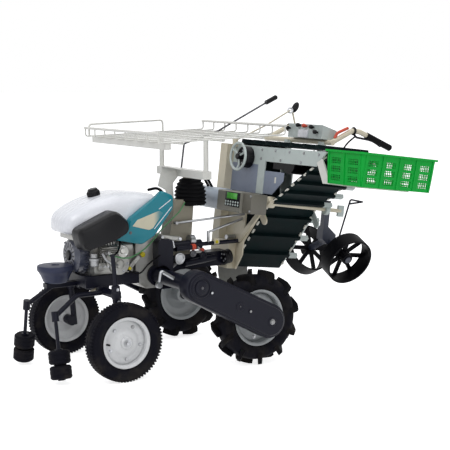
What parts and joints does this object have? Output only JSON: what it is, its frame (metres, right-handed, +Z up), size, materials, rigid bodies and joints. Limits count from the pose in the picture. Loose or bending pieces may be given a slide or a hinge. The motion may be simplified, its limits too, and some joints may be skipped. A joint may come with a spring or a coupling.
{
  "type": "sweet potato transplanter",
  "caption": "Walk-behind vine transplanter: engine under a white and teal hood, lugged drive wheels on chain cases, slatted cross conveyor, wire rack, crate and press wheels.",
  "frame": {"origin": "middle of the footprint, on the ground", "axes": "+X forward, +Y to the machine's left, +Z up"},
  "size_m": [2.0162, 1.636, 1.3361],
  "materials": {
    "tyre_rubber": "matte",
    "wheel_white": "satin paint",
    "black_paint": "gloss black paint",
    "roller_rubber": "matte",
    "cast_aluminium": "cast",
    "hood_white": "gloss",
    "hood_teal": "gloss",
    "black_plastic": "satin",
    "column_olive": "satin paint",
    "wire_white": "powder coat",
    "beige_paint": "satin paint",
    "grey_panel": "satin paint",
    "gearbox_grey": "satin paint",
    "steel": "worn",
    "belt_green": "matte",
    "crate_green": "satin",
    "press_black": "satin",
    "post_blue_grey": "satin paint"
  },
  "bodies": {
    "chassis": {"front_axle": "black_paint", "front_legs": "black_paint", "main_frame": "black_paint", "front_weight": "black_paint", "guide_arms": "black_paint", "engine_block": "cast_aluminium", "recoil_cover": "black_paint", "hood_top": "hood_white", "hood_cowl": "hood_teal", "fuel_cap": "black_plastic", "air_cleaner_cover": "black_plastic", "transmission_case": "cast_aluminium", "belt_cover": "black_paint", "drive_axle": "black_paint", "wheel_arms": "black_paint", "rear_beam": "black_paint", "handle_column": "column_olive", "rack_stand": "wire_white", "rack_posts": "wire_white", "rack_tray": "wire_white", "boot_hoses": "roller_rubber", "lift_cylinder": "black_paint", "control_rods": "steel", "gear_lever": "steel", "conveyor_belt": "belt_green", "conveyor_rollers": "steel", "conveyor_front_plate": "grey_panel", "conveyor_rear_frame": "grey_panel", "belt_guide_bar": "beige_paint", "slat_ends": "steel", "mast": "beige_paint", "instrument_panel": "grey_panel", "planting_motor": "gearbox_grey", "display_box": "gearbox_grey", "planting_gearbox": "gearbox_grey", "handwheel": "steel", "conveyor_motor": "black_plastic", "planting_shoe": "grey_panel", "crate": "crate_green", "crate_shelf": "beige_paint", "handle_cross_tube": "beige_paint", "handle_tubes": "beige_paint", "grips": "roller_rubber", "control_panel": "grey_panel", "panel_lever": "steel", "press_beam": "black_paint", "press_post": "post_blue_grey", "adjuster_rod": "black_paint"},
    "front_wheel_left": {"front_tyre_left": "tyre_rubber", "front_disc_left": "wheel_white"},
    "rear_wheel_left": {"rear_tyre_left": "tyre_rubber", "rear_disc_left": "wheel_white"},
    "press_wheel_left": {"press_wheel_left": "press_black"},
    "guide_rollers_left": {"guide_rollers_left": "roller_rubber"},
    "front_wheel_right": {"front_tyre_right": "tyre_rubber", "front_disc_right": "wheel_white"},
    "rear_wheel_right": {"rear_tyre_right": "tyre_rubber", "rear_disc_right": "wheel_white"},
    "press_wheel_right": {"press_wheel_right": "press_black"},
    "guide_rollers_right": {"guide_rollers_right": "roller_rubber"}
  },
  "joints": [
    {"name": "front_wheel_left_spin", "type": "hinge", "parent": "chassis", "child": "front_wheel_left", "pos_m": [0.67915, 0.061, 0.19], "axis": [0, 1, 0], "continuous": true},
    {"name": "rear_wheel_left_spin", "type": "hinge", "parent": "chassis", "child": "rear_wheel_left", "pos_m": [-0.03885, 0.1, 0.24], "axis": [0, 1, 0], "continuous": true},
    {"name": "press_wheel_left_spin", "type": "hinge", "parent": "chassis", "child": "press_wheel_left", "pos_m": [-0.76506, -0.097, 0.44876], "axis": [0.0515, 0.9063, -0.4195], "continuous": true},
    {"name": "guide_rollers_left_spin", "type": "hinge", "parent": "chassis", "child": "guide_rollers_left", "pos_m": [0.95615, -0.06, 0.092], "axis": [0, -0.2079, 0.9781], "continuous": true},
    {"name": "front_wheel_right_spin", "type": "hinge", "parent": "chassis", "child": "front_wheel_right", "pos_m": [0.67915, -0.625, 0.19], "axis": [0, 1, 0], "continuous": true},
    {"name": "rear_wheel_right_spin", "type": "hinge", "parent": "chassis", "child": "rear_wheel_right", "pos_m": [-0.03885, -0.664, 0.24], "axis": [0, 1, 0], "continuous": true},
    {"name": "press_wheel_right_spin", "type": "hinge", "parent": "chassis", "child": "press_wheel_right", "pos_m": [-0.76506, -0.467, 0.44876], "axis": [-0.0515, 0.9063, 0.4195], "continuous": true},
    {"name": "guide_rollers_right_spin", "type": "hinge", "parent": "chassis", "child": "guide_rollers_right", "pos_m": [0.95615, -0.504, 0.092], "axis": [0, 0.2079, 0.9781], "continuous": true}
  ]
}
